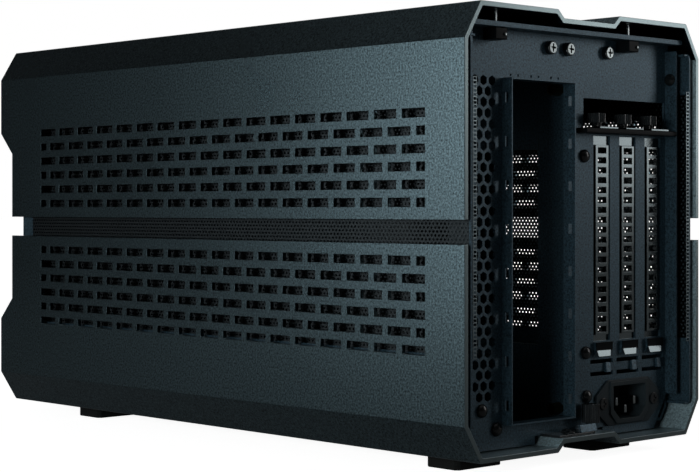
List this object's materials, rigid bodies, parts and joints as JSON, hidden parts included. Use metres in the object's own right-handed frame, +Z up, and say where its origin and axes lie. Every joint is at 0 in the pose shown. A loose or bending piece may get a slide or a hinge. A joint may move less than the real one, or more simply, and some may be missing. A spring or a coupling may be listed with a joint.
{
  "type": "mini-itx computer case",
  "caption": "Compact desktop computer case: two folded slotted shells round a sheet-metal chassis, with board opening, vented card slots and power inlet at the rear.",
  "frame": {"origin": "middle of the footprint, on the surface that the feet stand on", "axes": "+Z up, +Y to the rear where the connectors are, +X to the right seen from the front"},
  "size_m": [0.174, 0.377, 0.214],
  "materials": {
    "shell_coat": "fine textured powder coat, charcoal",
    "panel_coat": "fine textured powder coat, near black",
    "mesh_coat": "satin black coat on perforated sheet",
    "cover_coat": "satin grey coat",
    "black_metal": "satin black",
    "bright_metal": "bright steel",
    "brass": "plain turned brass",
    "black_plastic": "moulded black",
    "rubber": "matt black"
  },
  "bodies": {
    "chassis": {"lower_shell": "shell_coat", "rear_panel": "panel_coat", "chassis_roof": "panel_coat", "right_roof_rail": "panel_coat", "left_roof_rail": "panel_coat", "chassis_floor": "panel_coat", "front_panel": "panel_coat", "board_tray": "panel_coat", "supply_bracket": "panel_coat", "right_side_panel": "mesh_coat", "left_side_panel": "mesh_coat", "slot_cover_1": "cover_coat", "slot_cover_2": "cover_coat", "slot_cover_3": "cover_coat", "slot_shelf": "black_metal", "slot_thumbscrews": "black_metal", "rear_clip_plate": "black_metal", "base_thumbscrew": "black_metal", "inlet_pins": "bright_metal", "board_standoffs": "brass", "power_inlet": "black_plastic", "snap_catches": "black_plastic", "button_housing": "black_plastic", "front_port": "black_plastic", "front_right_foot": "rubber", "front_left_foot": "rubber", "rear_right_foot": "rubber", "rear_left_foot": "rubber"},
    "upper_cover": {"upper_shell": "shell_coat", "catch_studs": "bright_metal"},
    "power_button": {"power_button": "black_plastic"}
  },
  "joints": [
    {"name": "cover_lift", "type": "slide", "parent": "chassis", "child": "upper_cover", "axis": [0, 0, 1], "range_m": [0, 0.11]},
    {"name": "button_press", "type": "slide", "parent": "chassis", "child": "power_button", "axis": [0, 1, 0], "range_m": [0, 0.0015], "stiffness_N_per_m": 600}
  ]
}
